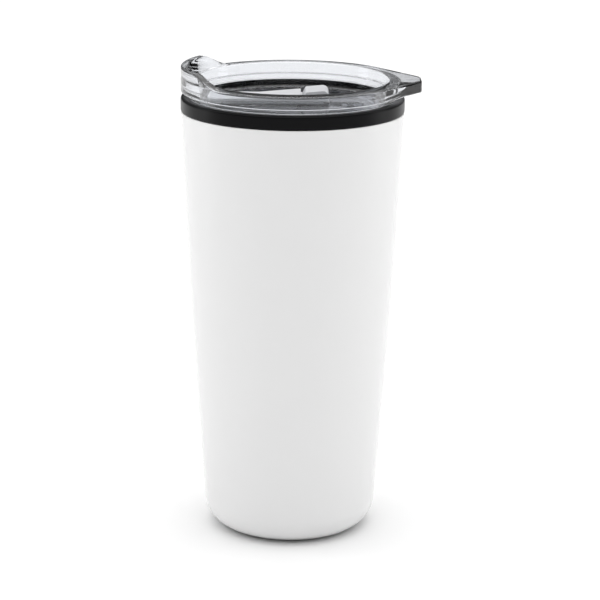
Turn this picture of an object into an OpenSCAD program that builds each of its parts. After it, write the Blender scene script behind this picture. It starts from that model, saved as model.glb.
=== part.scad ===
// Insulated tumbler: a steel outer shell round a plastic liner, closed by a clear
// push-in lid with a sliding drink closure. The origin is on the cup's axis at its
// flat underside. +Z is up, the drinking lip is at -X and the pry tab is at +X.

/* [Shell] */
// Height of the steel shell, from the table to the collar's underside
shell_h = 172.5; // [140:0.5:215]
// Outside diameter that the shell's side would have at the table, without its rounded foot
shell_base_d = 67.9; // [56:0.1:78]
// How far the side bows out past a straight taper at mid height
shell_bow = 0.97; // [0:0.01:2]
// Radius of the rounded foot
foot_r = 11.2; // [6:0.1:14]
// Wall of the steel shell with its coat
shell_wall = 0.8; // [0.5:0.05:1.2]
// Width of the shell's flat ring round the steel disc that closes the underside
cap_ring = 1.6; // [1.6:0.1:4]
// Width of the lap between the steel disc and the shell
cap_lap = 1.2; // [0.8:0.1:1.5]
// Distance from the disc's edge to the ring pressed into it
bead_inset = 4; // [3:0.5:8]
// Width of the ring pressed into the disc
bead_w = 3; // [1:0.5:5]
// Depth of the ring pressed into the disc
bead_depth = 0.4; // [0.1:0.05:0.4]

/* [Collar] */
// Outside diameter of the collar, which is the widest round part of the cup
collar_d = 89; // [84:0.5:110]
// Height of the collar above the shell
collar_h = 5.8; // [4:0.1:10]
// Width of the collar's top, from its outside to the liner's mouth
collar_land = 4.5; // [3.8:0.1:6]
// How far the collar stands out past the shell
collar_proud = 0.1; // [0:0.05:0.5]
// Depth of the collar's spigot inside the shell
spigot_h = 8; // [7:0.5:10]
// Gap between the spigot and the shell
spigot_gap = 0.1; // [0.05:0.05:0.2]
// Rounding of the collar's top outer edge
collar_round = 1.2; // [0.4:0.1:1.6]
// Rounding of the collar's other edges
collar_edge = 0.6; // [0.2:0.1:0.8]
// Thickness of the silicone ring between the spigot and the shell
seal_d = 1.2; // [0.8:0.1:1.3]
// Gap between the silicone ring and the sides of its groove
seal_room = 0.1; // [0.05:0.05:0.15]
// Gap between the silicone ring and the shell
seal_fit = 0.05; // [0.02:0.01:0.1]

/* [Liner] */
// Depth of the straight mouth, from the collar's top
bore_depth = 15; // [13:0.5:20]
// Width of the step below the straight mouth
step_w = 1.6; // [0.8:0.1:3]
// Air gap between the liner and the shell at the liner's floor
air_gap = 2.9; // [1.5:0.1:8]
// Wall of the liner
liner_wall = 1.5; // [1:0.1:2]
// Height of the liner's inside floor above the table
floor_z = 8.5; // [6:0.5:14]
// Rounding of the liner's floor
floor_round = 6; // [3:0.5:10]
// Thickness of the collar's lip over the liner's edge
lip_over = 1.5; // [1:0.1:2]

/* [Lid] */
// Clear height between the collar and the lid's flange
neck_h = 2; // [0.5:0.1:4]
// How far the neck is set in from the flange's edge
neck_inset = 2.2; // [1.5:0.1:3]
// Height of the flange, from its underside to the rim
flange_t = 5.2; // [4:0.1:8]
// Depth of the deck below the rim
recess_depth = 10; // [8:0.1:12]
// Thickness of the deck
deck_t = 2.2; // [1.6:0.1:3]
// Depth of the plug below the collar's top
plug_depth = 11.3; // [10.5:0.1:12.5]
// Gap between the plug and the liner's mouth
plug_gap = 0.4; // [0.3:0.05:0.8]
// Wall between the plug's outside and the recess at the deck
plug_wall = 2.2; // [1.8:0.1:3]
// How far the recess widens from the deck to the rim
recess_flare = 0.8; // [0:0.1:1.5]
// Wall of the skirt below the deck
skirt_wall = 3; // [2.6:0.1:4]
// Gap between the lid's shoulder and the collar at rest
seat_gap = 0.05; // [0.02:0.01:0.2]

/* [Drinking lip and tab] */
// Height of the drinking lip above the rim
spout_rise = 5; // [2:0.1:8]
// Width of the lip's level top
spout_top_w = 43; // [30:0.5:50]
// Width of the lip at the rim, with its two ramps
spout_foot_w = 71; // [64:0.5:76]
// Thickness of the lip at its top
spout_wall = 3; // [2:0.1:4]
// Reach of the pry tab past the flange
tab_reach = 6.5; // [4:0.1:10]
// Width of the pry tab at its tip
tab_w = 15; // [12:0.5:24]
// Rounding of the tab's corners
tab_round = 4; // [2:0.1:5]
// How far the tab's underside stands above the flange's
tab_step = 0.5; // [0:0.1:2]

/* [Drink hole, vent and rails] */
// Length of the drink hole along the slide's travel
hole_len = 8; // [5:0.5:10]
// Width of the drink hole across the travel
hole_w = 14; // [9:0.5:15]
// Deck left between the drink hole and the recess wall
hole_margin = 5.9; // [4.5:0.1:8]
// Diameter of the vent hole
vent_d = 2; // [1:0.1:3]
// Deck left between the vent hole and the recess wall
vent_margin = 3.4; // [2:0.1:4]
// Height of the guide rails on the deck
rail_h = 1.5; // [0.8:0.1:2]
// Width of each guide rail
rail_w = 1.6; // [1:0.1:2.4]
// Gap between the slide and each rail
rail_gap = 0.35; // [0.25:0.05:0.6]

/* [Slide] */
// Travel of the slide from closed to open
travel = 13; // [10:0.5:14]
// Width of the slide
slide_w = 20; // [18:0.5:24]
// Thickness of the slide's plate
slide_t = 2.2; // [1.8:0.1:3]
// Rounding of the slide's corners
slide_round = 5; // [3:0.5:8]
// Gap between the slide's plate and the deck
slide_gap = 0.3; // [0.2:0.05:0.4]
// How far the slide covers the deck past the drink hole
hole_cover = 2.6; // [2:0.1:3]
// Deck left behind the slide when it is open
rear_land = 10; // [8:0.1:12]
// Width of the ramp and of the thumb grip
grip_w = 14; // [10:0.5:17]
// Length of the thumb grip
grip_len = 11.1; // [8:0.1:14]
// Depth of the grip's highest point below the rim
grip_below_rim = 4; // [2:0.1:4.5]
// Fall of the grip's top over its length
grip_fall = 0.7; // [0:0.1:1]
// Length of the ramp in front of the grip
ramp_len = 20; // [10:0.5:22]
// Depth of the ramp's highest point below the rim
ramp_below_rim = 5.5; // [4.8:0.1:6]
// Fall of the ramp over its length
ramp_fall = 1.8; // [0.5:0.1:2]
// Rounding of the grip's rear edge and of the ramp's front
nose = 2.5; // [1:0.1:4]
// Width of the slit between the ramp and the grip
slit_w = 0.9; // [0.5:0.1:1.5]
// Depth of the slit between the ramp and the grip
slit_h = 1.8; // [1:0.1:2]
// Thickness of the silicone pad over the drink hole
pad_t = 1.1; // [0.9:0.1:1.3]
// How far the pad laps past the drink hole
pad_lap = 1.2; // [0.8:0.1:1.5]

/* [Slide clip] */
// Length of the stem that passes through the deck
stem_len = 10; // [7:0.5:11]
// Width of the stem
stem_w = 5; // [4:0.5:7]
// Gap between the stem and its slot
stem_gap = 0.3; // [0.2:0.05:0.4]
// How far the closed slide covers the deck behind the stem's slot
slot_cover = 3.5; // [2:0.1:5]
// Length of the clip
clip_len = 18; // [14:0.5:20]
// Width of the clip
clip_w = 13; // [10:0.5:16]
// Thickness of the clip
clip_t = 1.8; // [1.2:0.1:2]
// Height of the barb that holds the clip on the stem
barb_h = 0.9; // [0.6:0.1:1.2]
// How far the barb stands out past the stem
barb_out = 0.6; // [0.4:0.1:1]

/* [Gasket] */
// Height of the gasket's groove
groove_h = 4.4; // [3.5:0.1:5]
// Depth of the gasket's groove in the plug
groove_depth = 1.4; // [1:0.1:1.6]
// Plug left below the groove
groove_land = 1.6; // [1.2:0.1:2]
// Gap between the gasket and the bottom of its groove
gasket_fit = 0.05; // [0.02:0.01:0.1]
// Gap between the gasket's lips and the liner's mouth
lip_gap = 0.15; // [0.1:0.01:0.25]
// Thickness of each gasket lip at its edge
lip_edge = 0.3; // [0.2:0.05:0.5]
// How far the gasket's band is set in from the plug's outside
band_inset = 0.3; // [0.1:0.05:0.6]

/* [Hidden] */
$fn = 96;

// Steps along a curve that is drawn point by point
side_steps = 12;
arc_steps = 8;
ramp_steps = 10;
// Excess that carries a cut past the face it opens
over = 1;

// Heights above the table
collar_top = shell_h + collar_h;
flange_z = collar_top + neck_h;
rim_z = flange_z + flange_t;
spout_z = rim_z + spout_rise;
deck_z = rim_z - recess_depth;
deck_under = deck_z - deck_t;
plug_z = collar_top - plug_depth;
shoulder_z = collar_top + seat_gap;
liner_top = collar_top - lip_over;
bore_z = collar_top - bore_depth;
seal_z = shell_h - spigot_h / 2;

// Radii about the cup's axis
collar_r = collar_d / 2;
shell_top_r = collar_r - collar_proud;
shell_base_r = shell_base_d / 2;
bore_r = collar_r - collar_land;
liner_mouth_out = bore_r + liner_wall;
neck_r = collar_r - neck_inset;
plug_r = bore_r - plug_gap;
deck_r = plug_r - plug_wall;
recess_r = deck_r + recess_flare;
groove_r = plug_r - groove_depth;

// Places along the slide's travel, with the slide closed
hole_front = -(deck_r - hole_margin);
hole_back = hole_front + hole_len;
slide_front = hole_front - hole_cover;
slide_rear = deck_r - rear_land - travel;
stem_front = slide_rear - travel - slot_cover - stem_len;
grip_front = slide_rear - grip_len;
ramp_front = grip_front - ramp_len;
rail_y = slide_w / 2 + rail_gap;
rail_front = hole_back - hole_len / 2;
rail_rear = slide_rear + travel;

// Heights on the slide
plate_z = deck_z + slide_gap;
plate_top = plate_z + slide_t;
grip_top = rim_z - grip_below_rim;
ramp_top = rim_z - ramp_below_rim;
pad_z = deck_z + seat_gap;
clip_top = deck_under - slide_gap;
clip_z = clip_top - clip_t;

// Outside radius of the shell's bowed side at a height
function shell_r(z) =
    shell_base_r
    + (shell_top_r - shell_base_r) * z / shell_h
    + 4 * shell_bow * z / shell_h * (1 - z / shell_h);

// Angle by which the side leans out just above the foot
foot_lean = atan((shell_r(foot_r + over) - shell_r(foot_r)) / over);
foot_side_z = foot_r * (1 - sin(foot_lean));
foot_centre_r = shell_r(foot_side_z) - foot_r * cos(foot_lean);
cap_r = foot_centre_r - cap_ring;

// Inside radius of the liner at its floor
liner_base_r = shell_r(floor_z) - shell_wall - air_gap - liner_wall;

// Radius to the middle of the silicone ring, which lies close to the shell's leaning inside
seal_lean = atan((shell_r(seal_z + seal_d) - shell_r(seal_z - seal_d)) / (2 * seal_d));
seal_r = shell_r(seal_z) - shell_wall - (seal_d / 2 + seal_fit) / cos(seal_lean);

// Points of an arc about (cx, cy), from angle a0 to angle a1
function arc(cx, cy, r, a0, a1, steps = arc_steps) =
    [for (i = [0 : steps]) let (a = a0 + (a1 - a0) * i / steps) [cx + r * cos(a), cy + r * sin(a)]];

// Points of the shell's side, set in by a wall, from the foot up to the top
function side(inset) =
    [for (i = [1 : side_steps])
        let (z = foot_side_z + (shell_h - foot_side_z) * i / side_steps)
        [shell_r(z) - inset, z]];

function reversed(points) = [for (i = [len(points) - 1 : -1 : 0]) points[i]];

// Smooth rise from 0 to 1
function ease(t) = t * t * (3 - 2 * t);

// A plate with round corners between two X values, centred on Y
module round_plate(x0, x1, w, r, z, t)
    translate([0, 0, z])
        linear_extrude(t)
            round_outline(x0, x1, w, r);

module round_outline(x0, x1, w, r) {
    translate([x0, -w / 2 + r])
        square([x1 - x0, w - 2 * r]);
    translate([x0 + r, -w / 2])
        square([x1 - x0 - 2 * r, w]);
    for (x = [x0 + r, x1 - r], y = [-w / 2 + r, w / 2 - r])
        translate([x, y])
            circle(r);
}

// A flat ring that stands on Z = 0
module ring(outer_r, inner_r, h)
    difference() {
        cylinder(h = h, r = outer_r);
        translate([0, 0, -over])
            cylinder(h = h + 2 * over, r = inner_r);
    }

// A side view in X and Z, made into a solid of a given width
module side_view(w, points)
    translate([0, w / 2, 0])
        rotate([90, 0, 0])
            linear_extrude(w)
                polygon(points);

module outer_shell()
    color("white")
        rotate_extrude()
            polygon(concat(
                [[cap_r, 0]],
                arc(foot_centre_r, foot_r, foot_r, -90, -foot_lean),
                side(0),
                reversed(side(shell_wall)),
                arc(foot_centre_r, foot_r, foot_r - shell_wall, -foot_lean, -90),
                [[cap_r, shell_wall]]
            ));

module base_cap() {
    bead_r = cap_r - bead_inset;
    color("silver")
        difference() {
            union() {
                cylinder(h = shell_wall, r = cap_r);
                translate([0, 0, shell_wall])
                    ring(cap_r + cap_lap, cap_r - cap_lap, shell_wall);
                translate([0, 0, shell_wall])
                    ring(bead_r, bead_r - bead_w, bead_depth);
            }
            translate([0, 0, -over])
                ring(bead_r - bead_depth, bead_r - bead_w + bead_depth, over + bead_depth);
        }
}

module liner() {
    step_z = bore_z - step_w;
    top_r = bore_r - step_w;
    out_z = floor_z - liner_wall;
    corner_r = liner_base_r + liner_wall - floor_round;
    color("#1c1c20")
        rotate_extrude()
            polygon(concat(
                [[0, out_z]],
                arc(corner_r, out_z + floor_round, floor_round, -90, 0),
                [
                    [top_r + liner_wall, step_z - over],
                    [liner_mouth_out, bore_z - over],
                    [liner_mouth_out, liner_top],
                    [bore_r, liner_top],
                    [bore_r, bore_z],
                    [top_r, step_z],
                ],
                arc(corner_r, out_z + floor_round, floor_round - liner_wall, 0, -90),
                [[0, floor_z]]
            ));
}

module collar() {
    groove_half = seal_d / 2 + seal_room;
    color("#18181b")
        difference() {
            rotate_extrude()
                polygon(concat(
                    [
                        [liner_mouth_out, shell_h - spigot_h],
                        [shell_r(shell_h - spigot_h) - shell_wall - spigot_gap, shell_h - spigot_h],
                        [shell_top_r - shell_wall - spigot_gap, shell_h],
                    ],
                    arc(collar_r - collar_edge, shell_h + collar_edge, collar_edge, -90, 0),
                    arc(collar_r - collar_round, collar_top - collar_round, collar_round, 0, 90),
                    arc(bore_r + collar_edge, collar_top - collar_edge, collar_edge, 90, 180),
                    [
                        [bore_r, liner_top],
                        [liner_mouth_out, liner_top],
                    ]
                ));
            rotate_extrude()
                translate([seal_r - groove_half, seal_z - groove_half])
                    square([2 * groove_half + over, 2 * groove_half]);
        }
}

module rim_seal()
    color("#3a3a3e")
        rotate_extrude()
            translate([seal_r, seal_z])
                circle(d = seal_d);

module lid_gasket() {
    groove_z = plug_z + groove_land;
    foot_z = groove_z + 2 * gasket_fit;
    top_z = groove_z + groove_h - 2 * gasket_fit;
    inner = groove_r + gasket_fit;
    band = plug_r - band_inset;
    tip = bore_r - lip_gap;
    lip_h = (top_z - foot_z) / 2;
    color("#e8e8ea")
        rotate_extrude()
            polygon([
                [inner, foot_z],
                [band, foot_z],
                [tip, foot_z + lip_h - lip_edge],
                [tip, foot_z + lip_h],
                [band, foot_z + lip_h],
                [tip, top_z - lip_edge],
                [tip, top_z],
                [inner, top_z],
            ]);
}

// Outline of the flange with its pry tab, seen from above
module flange_outline() {
    tip_x = collar_r + tab_reach - tab_round;
    tip_y = tab_w / 2 - tab_round;
    tip_far = norm([tip_x, tip_y]);
    touch = atan2(tip_y, tip_x) + acos((collar_r - tab_round) / tip_far);
    circle(collar_r);
    for (y = [-tip_y, tip_y])
        translate([tip_x, y])
            circle(tab_round);
    polygon([
        [0, 0],
        [collar_r * cos(touch), -collar_r * sin(touch)],
        [tip_x + tab_round * cos(touch), -tip_y - tab_round * sin(touch)],
        [tip_x + tab_round, -tip_y],
        [tip_x + tab_round, tip_y],
        [tip_x + tab_round * cos(touch), tip_y + tab_round * sin(touch)],
        [collar_r * cos(touch), collar_r * sin(touch)],
    ]);
}

// The drinking lip: a raised stretch of the rim, with a smooth ramp at each side
module drinking_lip() {
    foot = spout_foot_w / 2;
    shoulder = spout_top_w / 2;
    ramp = [for (i = [0 : ramp_steps])
        let (t = i / ramp_steps)
        [-foot + (foot - shoulder) * t, rim_z + spout_rise * ease(t)]];
    intersection() {
        translate([0, 0, rim_z - over])
            cylinder(h = spout_rise + 2 * over, r = collar_r);
        translate([-collar_r - over, 0, 0])
            rotate([90, 0, 90])
                linear_extrude(collar_r)
                    polygon(concat(
                        [[-foot, rim_z - over]],
                        ramp,
                        reversed([for (p = ramp) [-p[0], p[1]]]),
                        [[foot, rim_z - over]]
                    ));
    }
}

// The space above the deck, which opens wider where the drinking lip stands
module recess()
    rotate_extrude()
        polygon([
            [0, deck_z],
            [deck_r, deck_z],
            [recess_r, rim_z],
            [collar_r - spout_wall, spout_z],
            [collar_r - spout_wall, spout_z + over],
            [0, spout_z + over],
        ]);

// The drink hole: a slot across the slide's travel with round ends
module drink_hole() {
    end_r = hole_len / 2;
    reach = hole_w / 2 - end_r;
    for (y = [-reach, reach])
        translate([hole_front + end_r, y, deck_under - over])
            cylinder(h = deck_t + 2 * over, r = end_r);
    translate([hole_front, -reach, deck_under - over])
        cube([hole_len, 2 * reach, deck_t + 2 * over]);
}

module lid_body() {
    groove_z = plug_z + groove_land;
    color("lightgray", 0.5) {
        difference() {
            union() {
                translate([0, 0, flange_z + tab_step])
                    linear_extrude(flange_t - tab_step)
                        flange_outline();
                translate([0, 0, flange_z])
                    cylinder(h = tab_step + over, r = collar_r);
                translate([0, 0, shoulder_z])
                    cylinder(h = neck_h + over, r = neck_r);
                translate([0, 0, plug_z])
                    cylinder(h = plug_depth + over, r = plug_r);
                drinking_lip();
            }
            recess();
            translate([0, 0, plug_z - over])
                cylinder(h = deck_under - plug_z + over, r = plug_r - skirt_wall);
            translate([0, 0, groove_z])
                ring(plug_r + over, groove_r, groove_h);
            drink_hole();
            translate([deck_r - vent_margin - vent_d / 2, 0, deck_under - over])
                cylinder(h = deck_t + 2 * over, d = vent_d);
            translate([stem_front - stem_gap, -stem_w / 2 - stem_gap, deck_under - over])
                cube([stem_len + travel + 2 * stem_gap, stem_w + 2 * stem_gap, deck_t + 2 * over]);
        }
        for (side = [-1, 1])
            translate([rail_front, side * (rail_y + rail_w / 2) - rail_w / 2, deck_z - over])
                cube([rail_rear - rail_front, rail_w, rail_h + over]);
    }
}

module slide() {
    lean = slit_h / 2;
    color("gainsboro") {
        difference() {
            round_plate(slide_front, slide_rear, slide_w, slide_round, plate_z, slide_t);
            pad_shape(plate_z - over, pad_z + pad_t - plate_z + over);
        }
        difference() {
            side_view(grip_w, [
                [ramp_front - nose, plate_top - over],
                [ramp_front, ramp_top - ramp_fall],
                [grip_front, ramp_top],
                [grip_front + lean, ramp_top + grip_fall / 2],
                [grip_front + 2 * lean, grip_top - grip_fall],
                [slide_rear - nose, grip_top],
                [slide_rear - nose / 2, grip_top - nose / 3],
                [slide_rear, grip_top - nose],
                [slide_rear, plate_top - over],
            ]);
            side_view(grip_w + over, [
                [grip_front - slit_w / 2, ramp_top - slit_h],
                [grip_front + slit_w / 2, ramp_top - slit_h],
                [grip_front + slit_w + lean, ramp_top + over],
                [grip_front + lean - slit_w, ramp_top + over],
            ]);
        }
        translate([stem_front, -stem_w / 2, clip_z])
            cube([stem_len, stem_w, plate_z - clip_z + slide_t / 2]);
        translate([stem_front - barb_out, -stem_w / 2 - barb_out, clip_z - barb_h])
            cube([stem_len + 2 * barb_out, stem_w + 2 * barb_out, barb_h]);
    }
}

// The shape of the silicone pad, and of the pocket that holds it
module pad_shape(z, t)
    round_plate(hole_front - pad_lap, hole_back + pad_lap, hole_w + 2 * pad_lap, hole_len / 2, z, t);

module slide_seal()
    color("#d8d8dc")
        pad_shape(pad_z, pad_t);

module slide_clip()
    color("gainsboro")
        difference() {
            round_plate(
                stem_front + stem_len / 2 - clip_len / 2,
                stem_front + stem_len / 2 + clip_len / 2,
                clip_w, 2, clip_z, clip_t
            );
            translate([stem_front, -stem_w / 2, clip_z - over])
                cube([stem_len, stem_w, clip_t + 2 * over]);
        }

outer_shell();
base_cap();
liner();
collar();
rim_seal();
lid_gasket();
lid_body();
slide();
slide_seal();
slide_clip();
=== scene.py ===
"""Finished model of an insulated tumbler with a push-in lid, built round its CAD frame.

Sizes are in metres. The cup stands on the floor at the origin with +Z up, the drinking
lip is at -X and the pry tab is at +X.
"""

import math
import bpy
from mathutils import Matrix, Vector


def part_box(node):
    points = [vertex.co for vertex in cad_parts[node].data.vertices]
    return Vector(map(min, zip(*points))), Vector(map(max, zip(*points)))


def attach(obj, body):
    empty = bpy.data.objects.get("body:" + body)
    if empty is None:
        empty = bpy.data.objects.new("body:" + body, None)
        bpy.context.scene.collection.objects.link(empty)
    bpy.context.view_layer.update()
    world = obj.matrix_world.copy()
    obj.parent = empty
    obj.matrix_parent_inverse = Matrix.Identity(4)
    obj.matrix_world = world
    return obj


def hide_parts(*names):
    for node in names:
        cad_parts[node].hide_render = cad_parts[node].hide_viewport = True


bl_info = {
    "name": "Insulated Tumbler",
    "version": (1, 0, 0),
    "blender": (4, 5, 0),
    "location": "3D View > Sidebar > Tumbler",
    "description": "Models a double-wall tumbler, its clear lid and its sliding closure",
    "category": "Object",
}

import bmesh
import bpy
from bpy.props import FloatProperty, FloatVectorProperty, PointerProperty
from mathutils import Euler, Matrix, Vector

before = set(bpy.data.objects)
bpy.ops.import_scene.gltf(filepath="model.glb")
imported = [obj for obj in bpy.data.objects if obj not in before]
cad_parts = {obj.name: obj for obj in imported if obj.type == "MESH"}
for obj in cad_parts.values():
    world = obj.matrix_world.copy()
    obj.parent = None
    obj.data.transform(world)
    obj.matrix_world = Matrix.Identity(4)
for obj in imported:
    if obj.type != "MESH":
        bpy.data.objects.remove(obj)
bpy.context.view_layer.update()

MM = 0.001
FULL_TURN = 2 * math.pi
# Points closer together than this are one point
WELD = 0.002 * MM
# How far a block that cuts or joins runs past the face it meets
OVER = MM

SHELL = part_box("outer_shell")
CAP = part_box("base_cap")
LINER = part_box("liner")
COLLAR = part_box("collar")
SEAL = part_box("rim_seal")
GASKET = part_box("lid_gasket")
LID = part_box("lid_body")
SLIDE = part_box("slide")
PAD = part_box("slide_seal")
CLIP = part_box("slide_clip")


def length(name, description, default_mm):
    """A size that a user can change, with its default given in millimetres."""
    return FloatProperty(name=name, description=description, default=default_mm * MM, min=0.0, unit="LENGTH")


def degrees(name, description, default):
    """An angle that a user can change, with its default given in degrees."""
    return FloatProperty(name=name, description=description, default=math.radians(default), subtype="ANGLE")


def amount(name, description, default):
    """A plain number that a user can change."""
    return FloatProperty(name=name, description=description, default=default, min=0.0)


def colour(name, description, default):
    """A finish colour that a user can change."""
    return FloatVectorProperty(
        name=name, description=description, default=default, size=3, min=0.0, max=1.0, subtype="COLOR"
    )


class CupSizes(bpy.types.PropertyGroup):
    """Sizes of the cup that the frame's boxes don't give."""

    base_radius: length("Base radius", "Radius of the shell's side at the floor", 33.95)
    side_bow: length("Side bow", "Bow of the side past a straight taper", 0.97)
    foot_radius: length("Foot radius", "Radius of the rounded foot", 11.2)
    shell_wall: length("Shell wall", "Thickness of the coated steel", 0.8)
    cap_lap: length("Cap lap", "Lap of the steel disc and the shell", 1.2)
    bead_inset: length("Bead inset", "Distance from the disc's edge to its pressed ring", 4.0)
    bead_width: length("Bead width", "Width of the disc's pressed ring", 3.0)
    bead_depth: length("Bead depth", "Depth of the disc's pressed ring", 0.4)
    collar_round: length("Collar rounding", "Rounding of the collar's top outer edge", 1.2)
    collar_edge: length("Collar edge", "Rounding of the collar's other edges", 0.6)
    spigot_gap: length("Spigot gap", "Gap between the collar's spigot and the shell", 0.1)
    seal_room: length("Seal room", "Gap between the silicone ring and its groove", 0.1)
    liner_wall: length("Liner wall", "Thickness of the liner", 1.5)
    liner_base: length("Liner base radius", "Inside radius of the liner at its floor", 30.46)
    liner_step: length("Liner step", "Width of the step below the liner's mouth", 1.6)
    mouth_depth: length("Mouth depth", "Depth of the liner's straight mouth", 15.0)
    floor_round: length("Floor rounding", "Rounding of the liner's floor", 6.0)


class LidSizes(bpy.types.PropertyGroup):
    """Sizes of the clear lid that the frame's boxes don't give."""

    lip_rise: length("Lip rise", "Height of the drinking lip above the rim", 5.0)
    lip_top_width: length("Lip top width", "Width of the lip's level top", 43.0)
    lip_foot_width: length("Lip foot width", "Width of the lip at the rim", 71.0)
    lip_wall: length("Lip wall", "Thickness of the lip at its top", 3.0)
    flange_height: length("Flange height", "Height of the flange", 5.2)
    neck_inset: length("Neck inset", "Inset of the neck from the flange", 2.2)
    recess_depth: length("Recess depth", "Depth of the deck below the rim", 10.0)
    deck_thickness: length("Deck thickness", "Thickness of the deck", 2.2)
    plug_gap: length("Plug gap", "Gap between the plug and the liner's mouth", 0.4)
    plug_wall: length("Plug wall", "Wall between plug and recess", 2.2)
    recess_flare: length("Recess flare", "Widening of the recess up to the rim", 0.8)
    skirt_wall: length("Skirt wall", "Wall of the skirt below the deck", 3.0)
    seat_gap: length("Seat gap", "Gap between the lid's shoulder and the collar", 0.05)
    groove_depth: length("Groove depth", "Depth of the gasket's groove", 1.4)
    groove_room: length("Groove room", "Gap above and below the gasket in its groove", 0.1)
    gasket_fit: length("Gasket fit", "Gap between the gasket and the groove's bottom", 0.05)
    gasket_band: length("Gasket band", "Inset of the gasket's band", 0.3)
    tab_width: length("Tab width", "Width of the pry tab at its tip", 15.0)
    tab_round: length("Tab rounding", "Rounding of the pry tab's corners", 4.0)
    tab_step: length("Tab step", "Rise of the tab's underside", 0.5)
    hole_length: length("Drink hole length", "Length of the drink hole", 8.0)
    hole_width: length("Drink hole width", "Width of the drink hole", 14.0)
    hole_margin: length("Drink hole margin", "Deck between hole and recess wall", 5.9)
    vent_radius: length("Vent radius", "Radius of the vent hole", 1.0)
    vent_margin: length("Vent margin", "Deck between vent and recess wall", 3.4)
    rail_height: length("Rail height", "Height of the guide rails", 1.5)
    rail_width: length("Rail width", "Width of each guide rail", 1.6)
    rail_gap: length("Rail gap", "Gap between the slide and each rail", 0.35)


class SlideSizes(bpy.types.PropertyGroup):
    """Sizes of the sliding closure that the frame's boxes don't give."""

    travel: length("Travel", "Travel from closed to open", 13.0)
    deck_gap: length("Deck gap", "Gap between the slide's plate and the deck", 0.3)
    plate: length("Plate thickness", "Thickness of the slide's plate", 2.2)
    corner: length("Corner radius", "Rounding of the slide's corners", 5.0)
    grip_width: length("Grip width", "Width of the ramp and of the thumb grip", 14.0)
    grip_length: length("Grip length", "Length of the thumb grip", 11.1)
    grip_fall: length("Grip fall", "Fall of the grip's top towards the ramp", 0.7)
    ramp_length: length("Ramp length", "Length of the ramp", 20.0)
    ramp_below_grip: length("Ramp step", "Drop from the grip's top to the ramp", 1.5)
    ramp_fall: length("Ramp fall", "Fall of the ramp over its length", 1.8)
    nose: length("Nose", "Rounding of the grip's rear edge", 2.4)
    slit_width: length("Slit width", "Width of the slit between ramp and grip", 0.9)
    slit_depth: length("Slit depth", "Depth of the slit between ramp and grip", 1.8)
    stem_length: length("Stem length", "Length of the stem through the deck", 10.0)
    stem_width: length("Stem width", "Width of the stem through the deck", 5.0)
    stem_gap: length("Stem gap", "Gap between the stem and its slot", 0.3)
    barb_height: length("Barb height", "Height of the barb under the clip", 0.9)
    barb_out: length("Barb width", "Reach of the barb past the stem", 0.6)
    pad_corner: length("Pad corner", "Rounding of the pad's corners", 4.0)
    pad_fit: length("Pad fit", "Gap between the pad and its pocket", 0.02)
    clip_corner: length("Clip corner", "Rounding of the clip's corners", 2.0)


class Finishes(bpy.types.PropertyGroup):
    """Colours of the tumbler's materials."""

    coat: colour("Shell coat", "Gloss coat on the steel shell", (0.82, 0.82, 0.82))
    black: colour("Black plastic", "Liner and collar", (0.003, 0.003, 0.0035))
    clear: colour("Clear plastic", "Lid", (0.78, 0.795, 0.825))
    frosted: colour("Frosted plastic", "Slide and its clip", (0.72, 0.73, 0.75))
    silicone: colour("Silicone", "Gasket and pad", (0.74, 0.75, 0.76))
    dark_silicone: colour("Dark silicone", "Ring between collar and shell", (0.03, 0.03, 0.033))
    steel: colour("Bare steel", "Disc under the cup", (0.56, 0.55, 0.54))
    floor: colour("Floor", "Sweep that the cup stands on", (0.80, 0.80, 0.80))


class StageSizes(bpy.types.PropertyGroup):
    """Camera and lights."""

    camera_distance: length("Camera distance", "Distance in front of the cup", 898.6)
    camera_height: length("Camera height", "Height above the floor", 338.83)
    camera_tilt: degrees("Camera tilt", "Downward tilt", 15.23)
    camera_yaw: degrees("Camera yaw", "Turn to the right", 0.231)
    camera_roll: degrees("Camera roll", "Roll about the line of sight", 0.535)
    lens: amount("Lens", "Focal length in millimetres", 137.43)
    zenith: amount("Zenith", "Strength of the light from straight above", 2.9)
    falloff: amount("Falloff", "Fall-off of the light towards the horizon", 2.0)
    front: amount("Front share", "Share of the light from the front", 0.95)
    sides: amount("Side lights", "Power of each side softbox in watts", 1.5)


# ---- drawing and turning


def rounded(corners, step=math.radians(15)):
    """Points of an outline of (x, z, radius) corners, with an arc at each corner that has a radius."""
    points = []
    for index, (x, z, radius) in enumerate(corners):
        corner = Vector((x, z))
        if radius == 0:
            points.append(corner)
            continue
        back = (Vector(corners[index - 1][:2]) - corner).normalized()
        ahead = (Vector(corners[(index + 1) % len(corners)][:2]) - corner).normalized()
        half = back.angle(ahead) / 2
        centre = corner + (back + ahead).normalized() * radius / math.sin(half)
        start = corner + back * radius / math.tan(half) - centre
        turn = math.pi - 2 * half
        way = 1 if back.x * ahead.y - back.y * ahead.x < 0 else -1
        steps = max(2, math.ceil(turn / step))
        for count in range(steps + 1):
            points.append(centre + Matrix.Rotation(way * turn * count / steps, 2) @ start)
    return points


def new_primitive(name, make, **settings):
    """Adds one primitive at the origin's frame, selects it alone and opens it in edit mode."""
    bpy.ops.object.select_all(action="DESELECT")
    make(**settings)
    piece = bpy.context.active_object
    piece.name = name
    piece.data.name = name
    bpy.ops.object.mode_set(mode="EDIT")
    bpy.ops.mesh.select_mode(type="VERT")
    bpy.ops.mesh.select_all(action="SELECT")
    return piece


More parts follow.
